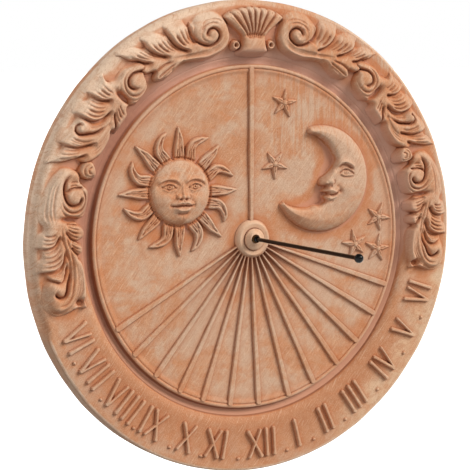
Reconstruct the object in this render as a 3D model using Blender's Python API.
"""Terracotta wall sundial with a black iron gnomon, in metres, +Z up.

The origin is the centre of the flat back, which lies on the wall. The dial faces -Y.
A round clay plaque carries sprigged relief: hour lines, numerals, sun, moon, stars,
a shell and a leafy garland. The gnomon stands square to the dial, pushed into a
lined socket in the hub, and draws out forwards.

Pieces on the face are built lying flat, with their height along local +Z, and hang
from an empty that stands them up, so that local +Z points out of the dial.
"""

from math import asin, atan2, cos, hypot, pi, radians, sin, sqrt

import bmesh
import bpy
from mathutils import Matrix, Vector

MM = 0.001
GAP = 0.3  # clearance between neighbouring solids, mm

# Plaque, mm. Heights are measured out from the back.
RIM_R = 205.0
FACE_H = 20.0  # border face
SHOULDER_R = 198.0
BORDER_IN_R = 160.5
CHANNEL_H = 12.8
DIAL_R = 149.6
LIP_H = 18.5
LIP_IN_R = 145.8
FIELD_H = 17.0  # dial field, inside the lip
TURN_STEPS = 72

# Hub and gnomon, mm
HUB = (0.0, -0.5)  # centre on the dial, x and z
BOSS_R, BOSS_H = 17.0, 4.6
CAP_R, CAP_H = 10.2, 6.8
BORE_R = 3.5
SOCKET_R, SOCKET_FLOOR = 3.2, 7.5
ROD_R = 1.75
RUN_R = 2.05  # bore that the rod passes through
FERRULE_R, FERRULE_LONG = 3.0, 3.0
BALL_R, BALL_Y = 3.75, 197.4
BALL_BORE = 2.4  # from the ball's centre back to the end of the rod

# Hanging pocket in the back, mm
POCKET_X, POCKET_Z, POCKET_DEEP = 14.0, (127.0, 152.0), 10.5
BAR_R, BAR_HALF, BAR_Z, BAR_DEPTH = 1.5, 18.6, 147.0, 5.0

# Hour lines, degrees round from straight down, towards the right-hand side
HOUR_LINES = {
    "VI_am": -60.5, "VII_am": -49.7, "VIII_am": -38.8, "IX_am": -28.0, "X_am": -18.6,
    "XI_am": -7.9, "XII": 3.2, "I_pm": 15.2, "II_pm": 25.8, "III_pm": 37.0,
    "IV_pm": 47.8, "V_pm": 59.5, "VI_pm": 70.6,
}
LINE_IN_R, LINE_IN_W, LINE_OUT_W, LINE_H = 17.6, 1.7, 4.8, 2.2

# Numerals, degrees round from straight down
NUMERALS = {
    "VI_am": -65.0, "VII_am": -55.0, "VIII_am": -42.6, "IX_am": -31.9, "X_am": -20.6,
    "XI_am": -11.0, "XII": 3.3, "I_pm": 14.5, "II_pm": 24.4, "III_pm": 35.3,
    "IV_pm": 48.3, "V_pm": 59.9, "VI_pm": 71.3,
}
NUMERAL_R, NUMERAL_TALL, STROKE_W, STROKE_H = 181.0, 25.0, 3.6, 2.6
PAD_H, PAD_MARGIN = 0.8, 0.7
LETTER_W = {"I": 7.4, "V": 15.0, "X": 16.0}

# Sun, moon and stars, mm on the dial
SUN, SUN_FACE_R, SUN_FACE_H = (-69.0, 42.0), 28.5, 11.0
RAYS, RAY_TIP_R, RAY_ROOT_R, RAY_H = 16, 55.0, 33.0, 2.8
MOON, MOON_R = (70.5, 49.0), 47.0
BITE, BITE_R, MOON_H = (50.5, 57.0), 33.0, 9.0
STARS = {  # centre x, z and turn in degrees
    "star_high": (33.5, 116.0, 8.0), "star_mid": (24.0, 63.0, -18.0),
    "star_right": (130.0, 12.5, -5.0), "star_low_left": (106.0, -11.0, 30.0),
    "star_low_right": (130.0, -16.0, 8.0),
}
STAR_R, STAR_IN_R, STAR_H = 12.0, 4.6, 3.4

# Border ornament, mm; garland sprigs by angle round from the top, degrees
SHELL_FOOT, SHELL_TOP, SHELL_H, SHELL_FLUTES = 159.5, 197.5, 9.0, 7
KNOB = (17.0, 166.0)
KNOB_R, KNOB_H = 4.0, 4.6
GARLAND_IN_R, GARLAND_OUT_R, GARLAND_H = 159.0, 197.0, 9.0
RIGHT_SQUEEZE = 0.965  # the right-hand garland is pressed on a little shorter
SPRIGS = {"upper": (9.5, 37.0), "middle": (38.0, 69.5), "lower": (70.5, 105.5)}
VOLUTES = {  # angle from the top in degrees, radius from the centre, size
    "upper": ((13.8, 181.0, 15.0),),
    "middle": ((40.0, 175.0, 13.0), (59.0, 191.0, 9.0)),
    "lower": ((75.0, 174.0, 12.0), (99.0, 189.0, 12.0)),
}

COLOURS = {  # base colour, metallic, roughness
    "terracotta": ((0.60, 0.30, 0.15, 1.0), 0.0, 0.85),
    "iron": ((0.02, 0.02, 0.02, 1.0), 0.6, 0.45),
    "brass": ((0.55, 0.40, 0.16, 1.0), 1.0, 0.40),
    "steel": ((0.55, 0.56, 0.57, 1.0), 1.0, 0.40),
}


def clear_scene():
    for obj in list(bpy.data.objects):
        bpy.data.objects.remove(obj, do_unlink=True)


def make_materials():
    made = {}
    for name, (colour, metallic, roughness) in COLOURS.items():
        material = bpy.data.materials.new(name)
        material.use_nodes = True
        shader = material.node_tree.nodes["Principled BSDF"]
        shader.inputs["Base Color"].default_value = colour
        shader.inputs["Metallic"].default_value = metallic
        shader.inputs["Roughness"].default_value = roughness
        material.diffuse_color = colour
        made[name] = material
    return made


def standing_frame(name, x, z, height):
    """An empty whose local +Z points out of the dial, this far out from the back."""
    empty = bpy.data.objects.new(name, None)
    empty.rotation_euler = (pi / 2, 0.0, 0.0)
    empty.location = (x * MM, -height * MM, z * MM)
    bpy.context.scene.collection.objects.link(empty)
    return empty


def add_object(name, mesh, parent, place=(0.0, 0.0, 0.0), turn=0.0):
    obj = bpy.data.objects.new(name, mesh)
    obj.parent = parent
    obj.location = Vector(place) * MM
    obj.rotation_euler = (0.0, 0.0, turn)
    bpy.context.scene.collection.objects.link(obj)
    return obj


def finish_mesh(name, bm, material):
    """Turns a bmesh drawn in mm into a mesh in metres, faces out, smooth but for edges."""
    bmesh.ops.scale(bm, vec=(MM, MM, MM), verts=bm.verts)
    bmesh.ops.recalc_face_normals(bm, faces=bm.faces)
    mesh = bpy.data.meshes.new(name)
    bm.to_mesh(mesh)
    bm.free()
    mesh.materials.append(material)
    mesh.shade_smooth()
    mesh.set_sharp_from_angle(angle=radians(32))
    return mesh


def turned(name, profile, steps, material, ring=False):
    """A turned solid round local Z. A ring's profile is a closed loop off the axis."""
    bm = bmesh.new()
    rows = []
    for radius, height in profile:
        if radius < 1e-6:
            rows.append([bm.verts.new((0.0, 0.0, height))] * steps)
            continue
        angles = (2 * pi * i / steps for i in range(steps))
        rows.append([bm.verts.new((radius * cos(a), radius * sin(a), height)) for a in angles])
    pairs = list(zip(rows, rows[1:]))
    if ring:
        pairs.append((rows[-1], rows[0]))
    for low, high in pairs:
        for i in range(steps):
            j = (i + 1) % steps
            corners = dict.fromkeys((low[i], low[j], high[j], high[i]))
            bm.faces.new(list(corners))
    return finish_mesh(name, bm, material)


def patch(name, columns, rows, point, material):
    """A relief sprig: a grid of points over a flat back, closed by upright sides.

    point(u, v) gives x, y and height, with u and v from 0 to 1.
    """
    bm = bmesh.new()
    top, foot = {}, {}
    for i in range(columns + 1):
        for j in range(rows + 1):
            x, y, height = point(i / columns, j / rows)
            top[i, j] = bm.verts.new((x, y, height))
            if i in (0, columns) or j in (0, rows):
                foot[i, j] = bm.verts.new((x, y, 0.0))
    for i in range(columns):
        for j in range(rows):
            bm.faces.new((top[i, j], top[i + 1, j], top[i + 1, j + 1], top[i, j + 1]))
    border = [(i, 0) for i in range(columns)] + [(columns, j) for j in range(rows)]
    border += [(i, rows) for i in range(columns, 0, -1)] + [(0, j) for j in range(rows, 0, -1)]
    for a, b in zip(border, border[1:] + border[:1]):
        bm.faces.new((foot[a], foot[b], top[b], top[a]))
    bm.faces.new([foot[key] for key in reversed(border)])
    return finish_mesh(name, bm, material)


def box_into(bm, centre, size, turn=0.0, height=(0.0, 1.0)):
    """Adds a box lying on the local XY plane, turned about Z."""
    low, high = height
    corners = ((-1, -1), (1, -1), (1, 1), (-1, 1))
    rings = []
    for z in (low, high):
        ring = []
        for sx, sy in corners:
            flat = Matrix.Rotation(turn, 2) @ Vector((sx * size[0] / 2, sy * size[1] / 2))
            ring.append(bm.verts.new((centre[0] + flat.x, centre[1] + flat.y, z)))
        rings.append(ring)
    bm.faces.new(rings[0][::-1])
    bm.faces.new(rings[1])
    for i in range(4):
        j = (i + 1) % 4
        bm.faces.new((rings[0][i], rings[0][j], rings[1][j], rings[1][i]))


def boolean(obj, cutter, operation):
    cutter.hide_render = True
    cutter.display_type = "WIRE"
    modifier = obj.modifiers.new(cutter.name, "BOOLEAN")
    modifier.operation = operation
    modifier.object = cutter


def hidden_tool(name, bm, parent, place=(0.0, 0.0, 0.0), turn=0.0):
    """A solid that only takes part in a Boolean."""
    return add_object(name, finish_mesh(name, bm, TERRACOTTA), parent, place, turn)


def make_plaque(back):
    profile = [
        (0.0, 0.0), (RIM_R - 1.5, 0.0), (RIM_R, 1.5), (RIM_R, 11.0),
        (RIM_R - 0.6, 14.8), (RIM_R - 1.9, 17.4), (RIM_R - 4.0, 19.3), (SHOULDER_R, FACE_H),
        (BORDER_IN_R, FACE_H), (BORDER_IN_R - 1.7, 18.9), (BORDER_IN_R - 3.8, 16.4),
        (BORDER_IN_R - 6.0, 14.2), (DIAL_R + 3.2, CHANNEL_H + 0.2), (DIAL_R + 1.7, CHANNEL_H),
        (DIAL_R + 0.6, CHANNEL_H + 0.9), (DIAL_R, LIP_H - 2.0),
        (DIAL_R - 0.7, LIP_H - 0.5), (DIAL_R - 1.8, LIP_H), (LIP_IN_R + 0.6, LIP_H),
        (LIP_IN_R, FIELD_H), (0.0, FIELD_H),
    ]
    plaque = add_object("terracotta_plaque", turned("plaque", profile, TURN_STEPS, TERRACOTTA), back)

    pocket = bmesh.new()
    middle = sum(POCKET_Z) / 2
    size = (2 * POCKET_X, POCKET_Z[1] - POCKET_Z[0])
    box_into(pocket, (0.0, middle), size, height=(-2.0, POCKET_DEEP))
    boolean(plaque, hidden_tool("pocket_cutter", pocket, back), "DIFFERENCE")

    bar_hole = bmesh.new()
    across = Matrix.Translation((0.0, BAR_Z, BAR_DEPTH)) @ Matrix.Rotation(pi / 2, 4, "Y")
    bmesh.ops.create_cone(
        bar_hole, cap_ends=True, segments=16, radius1=BAR_R + GAP, radius2=BAR_R + GAP,
        depth=2 * (BAR_HALF + GAP), matrix=across,
    )
    boolean(plaque, hidden_tool("bar_hole_cutter", bar_hole, back), "DIFFERENCE")

    bore = bmesh.new()
    bore_floor = SOCKET_FLOOR - GAP
    bore_long = FACE_H - bore_floor
    upright = Matrix.Translation((HUB[0], HUB[1], bore_floor + bore_long / 2))
    bmesh.ops.create_cone(
        bore, cap_ends=True, segments=24, radius1=BORE_R, radius2=BORE_R,
        depth=bore_long, matrix=upright,
    )
    boolean(plaque, hidden_tool("socket_bore_cutter", bore, back), "DIFFERENCE")


def make_hanging_bar(back):
    bm = bmesh.new()
    bmesh.ops.create_cone(
        bm, cap_ends=True, segments=16, radius1=BAR_R, radius2=BAR_R, depth=2 * BAR_HALF,
        matrix=Matrix.Rotation(pi / 2, 4, "Y"),
    )
    add_object("hanging_bar", finish_mesh("bar", bm, STEEL), back, (0.0, BAR_Z, BAR_DEPTH))


def make_hub(hub_frame):
    """Two stepped clay collars on the field; hub_frame stands on the field's surface."""
    boss = [
        (BORE_R, 0.0), (BOSS_R, 0.0), (BOSS_R, 1.8), (BOSS_R - 0.8, 3.2),
        (BOSS_R - 2.6, 4.2), (BOSS_R - 4.6, BOSS_H), (BORE_R, BOSS_H),
    ]
    add_object("hub_boss", turned("boss", boss, 32, TERRACOTTA, ring=True), hub_frame, (0, 0, GAP))
    cap = [
        (BORE_R, 0.0), (CAP_R - 0.2, 0.0), (CAP_R, 2.0), (CAP_R - 0.9, 4.2),
        (CAP_R - 2.6, 5.7), (CAP_R - 5.0, 6.6), (BORE_R, CAP_H),
    ]
    cap_foot = BOSS_H + 2 * GAP
    add_object("hub_cap", turned("cap", cap, 28, TERRACOTTA, ring=True), hub_frame, (0, 0, cap_foot))


def make_gnomon(axis, hub_top):
    """axis stands on the back's plane, so heights here count from the wall."""
    socket = [
        (RUN_R, SOCKET_FLOOR), (SOCKET_R, SOCKET_FLOOR), (SOCKET_R, hub_top - 0.4),
        (RUN_R, hub_top - 0.4),
    ]
    add_object("gnomon_socket", turned("socket", socket, 20, BRASS, ring=True), axis)

    rod_end = BALL_Y - BALL_BORE
    tail = SOCKET_FLOOR + 0.5
    rod = [
        (0.0, tail), (ROD_R - 0.5, tail), (ROD_R, tail + 0.6), (ROD_R, rod_end - 0.3),
        (ROD_R - 0.3, rod_end), (0.0, rod_end),
    ]
    add_object("gnomon_rod", turned("rod", rod, 16, IRON), axis)

    foot = hub_top + GAP
    ferrule = [
        (RUN_R, foot), (FERRULE_R, foot), (FERRULE_R, foot + 0.6 * FERRULE_LONG),
        (FERRULE_R - 0.5, foot + FERRULE_LONG), (RUN_R, foot + FERRULE_LONG),
    ]
    add_object("gnomon_ferrule", turned("ferrule", ferrule, 20, IRON, ring=True), axis)

    bore_end = BALL_Y - BALL_BORE + GAP
    start = asin(RUN_R / BALL_R)
    arcs = 10
    ball = [(0.0, bore_end), (RUN_R, bore_end)]
    for i in range(arcs):
        angle = start + (pi - start) * i / arcs
        ball.append((BALL_R * sin(angle), BALL_Y - BALL_R * cos(angle)))
    ball.append((0.0, BALL_Y + BALL_R))
    add_object("gnomon_ball", turned("ball", ball, 20, IRON), axis)


def bar_mesh(name, near, far, near_width, far_width, height):
    """A tapered raised line running down from the hub, narrower along its top."""
    bm = bmesh.new()
    rings = []
    for y, width in ((-near, near_width), (-far, far_width)):
        half, crest = width / 2, width * 0.3
        section = ((-half, 0.0), (half, 0.0), (crest, height), (-crest, height))
        rings.append([bm.verts.new((x, y, z)) for x, z in section])
    for i in range(4):
        j = (i + 1) % 4
        bm.faces.new((rings[0][i], rings[0][j], rings[1][j], rings[1][i]))
    bm.faces.new(rings[0])
    bm.faces.new(rings[1][::-1])
    return finish_mesh(name, bm, TERRACOTTA)


def make_hour_lines(field):
    far = LIP_IN_R - 0.6
    for hour, angle in HOUR_LINES.items():
        mesh = bar_mesh("hour_line", LINE_IN_R, far, LINE_IN_W, LINE_OUT_W, LINE_H)
        add_object(f"hour_line_{hour}", mesh, field, turn=radians(angle))
    mesh = bar_mesh("noon_line", LINE_IN_R, far, 3.4, 4.6, LINE_H)
    add_object("meridian_line", mesh, field, (1.0, 0.0, 0.0), turn=pi)


def strokes_of(text):
    """Each stroke's foot and head, in mm about the numeral's centre, read left to right."""
    total = sum(LETTER_W[letter] for letter in text)
    x, half = -total / 2, NUMERAL_TALL / 2
    strokes = []
    for letter in text:
        wide = LETTER_W[letter]
        inset = STROKE_W / 2 + 0.3
        left, right, middle = x + inset, x + wide - inset, x + wide / 2
        if letter == "I":
            strokes.append(((middle, -half), (middle, half)))
        elif letter == "V":
            strokes.append(((middle - 1.0, -half), (left, half)))
            strokes.append(((middle + 1.0, -half), (right, half)))
        else:
            strokes.append(((left, -half), (right, half)))
            strokes.append(((right, -half), (left, half)))
        x += wide
    return strokes, total


def make_numerals(border):
    """Each numeral is a thin clay pad with raised strokes, head towards the hub."""
    for hour, angle in NUMERALS.items():
        strokes, total = strokes_of(hour.split("_")[0])
        turn = radians(angle)
        place = (NUMERAL_R * sin(turn), -NUMERAL_R * cos(turn), 0.0)
        pad = bmesh.new()
        size = (total + 2 * PAD_MARGIN - 2.0, NUMERAL_TALL + 2 * PAD_MARGIN)
        box_into(pad, (0.0, 0.0), size, height=(0.0, PAD_H))
        mesh = finish_mesh("numeral", pad, TERRACOTTA)
        numeral = add_object(f"numeral_{hour}", mesh, border, place, turn)
        for number, (foot, head) in enumerate(strokes):
            run = Vector(head) - Vector(foot)
            bar = bmesh.new()
            lean = atan2(-run.x, run.y)
            centre = (Vector(foot) + Vector(head)) / 2
            rise = (PAD_H / 2, STROKE_H + 0.01 * number)
            box_into(bar, centre, (STROKE_W - 0.1 * number, NUMERAL_TALL - 0.2), lean, rise)
            tool = hidden_tool(f"stroke_{hour}_{number}", bar, border, place, turn)
            boolean(numeral, tool, "UNION")


def make_sun(field):
    rise = SUN_FACE_H / SUN_FACE_R
    radius = (1 + rise * rise) / (2 * rise) * SUN_FACE_R
    dome = [(0.0, 0.0), (SUN_FACE_R, 0.0), (SUN_FACE_R, 1.0)]
    for share in (0.96, 0.88, 0.74, 0.56, 0.36, 0.18):
        flat = share * SUN_FACE_R
        height = sqrt(radius**2 - flat**2) - (radius - SUN_FACE_H)
        dome.append((flat, max(height, 1.4)))
    dome.append((0.0, SUN_FACE_H))
    add_object("sun_face", turned("sun_face", dome, 32, TERRACOTTA), field, (*SUN, 0.0))

    bm = bmesh.new()
    steps = RAYS * 4
    loops = {"in_low": [], "out_low": [], "out_high": [], "in_high": []}
    for i in range(steps):
        angle = 2 * pi * i / steps
        sway = abs((i / 4) % 1 - 0.5) * 2
        outer = RAY_ROOT_R + (RAY_TIP_R - RAY_ROOT_R) * sway**1.6
        inner = SUN_FACE_R + GAP
        way = Vector((cos(angle), sin(angle), 0.0))
        loops["in_low"].append(bm.verts.new(way * inner))
        loops["out_low"].append(bm.verts.new(way * outer))
        loops["out_high"].append(bm.verts.new(way * (outer - 0.6) + Vector((0, 0, RAY_H))))
        loops["in_high"].append(bm.verts.new(way * inner + Vector((0, 0, RAY_H))))
    around = list(loops.values())
    for low, high in zip(around, around[1:] + around[:1]):
        for i in range(steps):
            j = (i + 1) % steps
            bm.faces.new((low[i], low[j], high[j], high[i]))
    add_object("sun_rays", finish_mesh("sun_rays", bm, TERRACOTTA), field, (*SUN, 0.0))


def make_moon(field):
    """A crescent, the moon's disc less the circle that bites it, crowned along its middle."""
    centre, bite = Vector(MOON), Vector(BITE)
    across = bite - centre
    reach = across.length
    along = (MOON_R**2 - BITE_R**2 + reach**2) / (2 * reach)
    tip_turn = atan2(sqrt(MOON_R**2 - along**2), along)
    bite_turn = atan2(sqrt(MOON_R**2 - along**2), along - reach)
    bearing = atan2(across.y, across.x)
    stations = 26
    bm = bmesh.new()
    rings = []
    for i in range(stations + 1):
        share = 0.04 + 0.92 * i / stations
        outer_angle = bearing + tip_turn + (2 * pi - 2 * tip_turn) * share
        inner_angle = bearing + bite_turn + (2 * pi - 2 * bite_turn) * share
        outer = centre + MOON_R * Vector((cos(outer_angle), sin(outer_angle)))
        inner = bite + BITE_R * Vector((cos(inner_angle), sin(inner_angle)))
        height = MOON_H * min(1.0, 0.35 + (outer - inner).length / 30.0)
        section = ((0.0, 0.0), (0.02, 0.35), (0.18, 0.85), (0.5, 1.0), (0.82, 0.85), (0.98, 0.35), (1.0, 0.0))
        ring = []
        for part, lift in section:
            spot = outer.lerp(inner, part)
            ring.append(bm.verts.new((spot.x, spot.y, height * lift)))
        rings.append(ring)
    for a, b in zip(rings, rings[1:]):
        for k in range(len(a)):
            m = (k + 1) % len(a)
            bm.faces.new((a[k], a[m], b[m], b[k]))
    bm.faces.new(rings[0])
    bm.faces.new(rings[-1][::-1])
    add_object("moon", finish_mesh("moon", bm, TERRACOTTA), field)


def make_stars(field):
    for name, (x, z, turn) in STARS.items():
        bm = bmesh.new()
        rim = []
        for i in range(10):
            angle = pi * i / 5
            radius = STAR_IN_R if i % 2 else STAR_R
            rim.append((radius * cos(angle), radius * sin(angle)))
        foot = [bm.verts.new((px, py, 0.0)) for px, py in rim]
        edge = [bm.verts.new((px, py, 1.2)) for px, py in rim]
        peak = bm.verts.new((0.0, 0.0, STAR_H))
        for i in range(10):
            j = (i + 1) % 10
            bm.faces.new((foot[i], foot[j], edge[j], edge[i]))
            bm.faces.new((edge[i], edge[j], peak))
        bm.faces.new(foot[::-1])
        mesh = finish_mesh("star", bm, TERRACOTTA)
        add_object(name, mesh, field, (x, z, 0.0), radians(turn))


def make_shell(border):
    def surface(u, v):
        side = 2 * u - 1
        half = 10.5 + 18.5 * v**1.9
        fall = 9.0 * side * side * v
        flute = 0.5 + 0.5 * cos(2 * pi * SHELL_FLUTES * u)
        height = 4.0 + (SHELL_H - 4.0) * (1 - side * side) + 1.4 * v * (flute - 0.5)
        y = SHELL_FOOT + (SHELL_TOP - SHELL_FOOT) * v - fall + 1.2 * v * (0.5 - flute)
        return side * half, y, min(height, SHELL_H)

    add_object("shell", patch("shell", 28, 4, surface, TERRACOTTA), border)
    knob = [
        (0.0, 0.0), (KNOB_R, 0.0), (KNOB_R, KNOB_H - 1.2), (KNOB_R - 1.2, KNOB_H),
        (1.5, KNOB_H - 0.4), (0.9, KNOB_H - 2.0), (0.0, KNOB_H - 2.0),
    ]
    for side, name in ((-1, "shell_knob_left"), (1, "shell_knob_right")):
        mesh = turned("knob", knob, 20, TERRACOTTA)
        add_object(name, mesh, border, (side * KNOB[0], KNOB[1], 0.0))


def make_garland(border):
    """Three leafy sprigs a side, each a curved lobed band with a raised boss per volute."""
    for hand, side, squeeze in (("left", -1, 1.0), ("right", 1, RIGHT_SQUEEZE)):
        for part, (start, end) in SPRIGS.items():

            def surface(u, v, start=start, end=end, part=part, side=side, squeeze=squeeze):
                angle = radians(start + (end - start) * u) * squeeze
                scallop = abs(sin(5 * pi * u))
                outer = GARLAND_OUT_R - 6.0 + 6.0 * scallop - 10.0 * abs(2 * u - 1) ** 6
                inner = GARLAND_IN_R + 3.0 - 3.0 * abs(sin(3 * pi * u))
                radius = inner + (outer - inner) * v
                height = 3.0 + 3.5 * sin(pi * v) + 1.2 * scallop * v
                for volute_angle, volute_r, size in VOLUTES[part]:
                    turn = radians(volute_angle) * squeeze
                    away = hypot(
                        radius * sin(angle) - volute_r * sin(turn),
                        radius * cos(angle) - volute_r * cos(turn),
                    )
                    lump = max(0.0, 1.0 - (away / size) ** 2)
                    height = max(height, GARLAND_H * lump**0.5)
                return side * radius * sin(angle), radius * cos(angle), height

            mesh = patch("sprig", 18, 5, surface, TERRACOTTA)
            add_object(f"garland_{hand}_{part}", mesh, border)


def main():
    back = standing_frame("back_plane", 0.0, 0.0, 0.0)
    field = standing_frame("dial_field", 0.0, 0.0, FIELD_H + GAP)
    border = standing_frame("border_face", 0.0, 0.0, FACE_H + GAP)
    hub_frame = standing_frame("hub_centre", HUB[0], HUB[1], FIELD_H)
    axis = standing_frame("gnomon_axis", HUB[0], HUB[1], 0.0)
    hub_top = FIELD_H + BOSS_H + CAP_H + 2 * GAP
    make_plaque(back)
    make_hanging_bar(back)
    make_hub(hub_frame)
    make_gnomon(axis, hub_top)
    make_hour_lines(field)
    make_numerals(border)
    make_sun(field)
    make_moon(field)
    make_stars(field)
    make_shell(border)
    make_garland(border)


clear_scene()
MATERIALS = make_materials()
TERRACOTTA, IRON = MATERIALS["terracotta"], MATERIALS["iron"]
BRASS, STEEL = MATERIALS["brass"], MATERIALS["steel"]
main()
